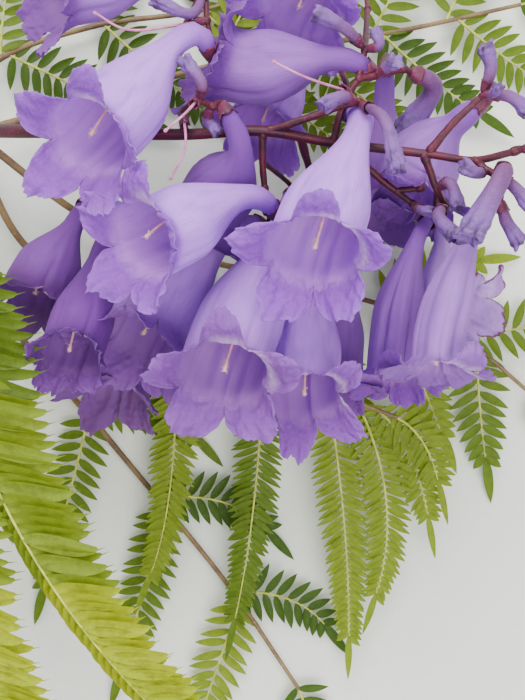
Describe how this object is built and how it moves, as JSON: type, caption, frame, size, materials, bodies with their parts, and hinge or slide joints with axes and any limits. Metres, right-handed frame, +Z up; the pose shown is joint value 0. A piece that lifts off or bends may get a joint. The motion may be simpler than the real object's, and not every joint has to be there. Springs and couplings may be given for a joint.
{
  "type": "jacaranda flowering branch",
  "caption": "Cut flowering branch of a jacaranda lying on its side: woody stem, branched panicle of lilac trumpet blooms with buds, and feathery leaves.",
  "frame": {"origin": "middle of the base of the whole branch's bounding box, on the floor it lies on", "axes": "+Z up from the floor, +X from the stem's cut end towards the tip of the panicle, -Y the way the blooms hang"},
  "size_m": [0.1837, 0.2262, 0.0804],
  "materials": {
    "bark": "rough brown young bark",
    "twig": "smooth reddish brown flower stalks",
    "petal": "soft, finely downy lilac petals",
    "bud": "downy grey-lilac closed buds",
    "calyx": "purplish brown calyces",
    "style": "pale pink styles and stamens",
    "leaf": "soft green leaflets",
    "young_leaf": "yellow-green young leaflets"
  },
  "bodies": {
    "root": {"stem": "bark", "panicle_axis": "twig", "shoot_left": "twig", "shoot_top_left": "twig", "shoot_mid": "twig", "shoot_low_left": "twig", "shoot_bar": "twig", "shoot_top": "twig", "shoot_right_up": "twig", "shoot_right_down": "twig", "shoot_behind": "twig", "shoot_centre": "twig", "shoot_tip": "twig", "shoot_end": "twig", "bloom_centre": "petal", "bloom_low_centre": "petal", "bloom_low_left": "petal", "bloom_high_left": "petal", "bloom_mid_left": "petal", "bloom_behind_left": "petal", "bloom_lowest": "petal", "bloom_slim": "petal", "bloom_right_inner": "petal", "bloom_right_outer": "petal", "bloom_far_right": "petal", "bloom_high_right": "petal", "bloom_back_centre": "petal", "bloom_top_centre": "petal", "bloom_back_top": "petal", "bloom_top_left": "petal", "bloom_top_back": "petal", "bloom_back_left": "petal", "bloom_neck_left": "petal", "bloom_back_low": "petal", "leaf_front": "leaf", "leaf_low": "leaf", "leaf_hanging": "leaf", "leaf_high_left": "leaf", "leaf_high_right": "leaf", "leaf_right": "leaf"}
  },
  "joints": []
}
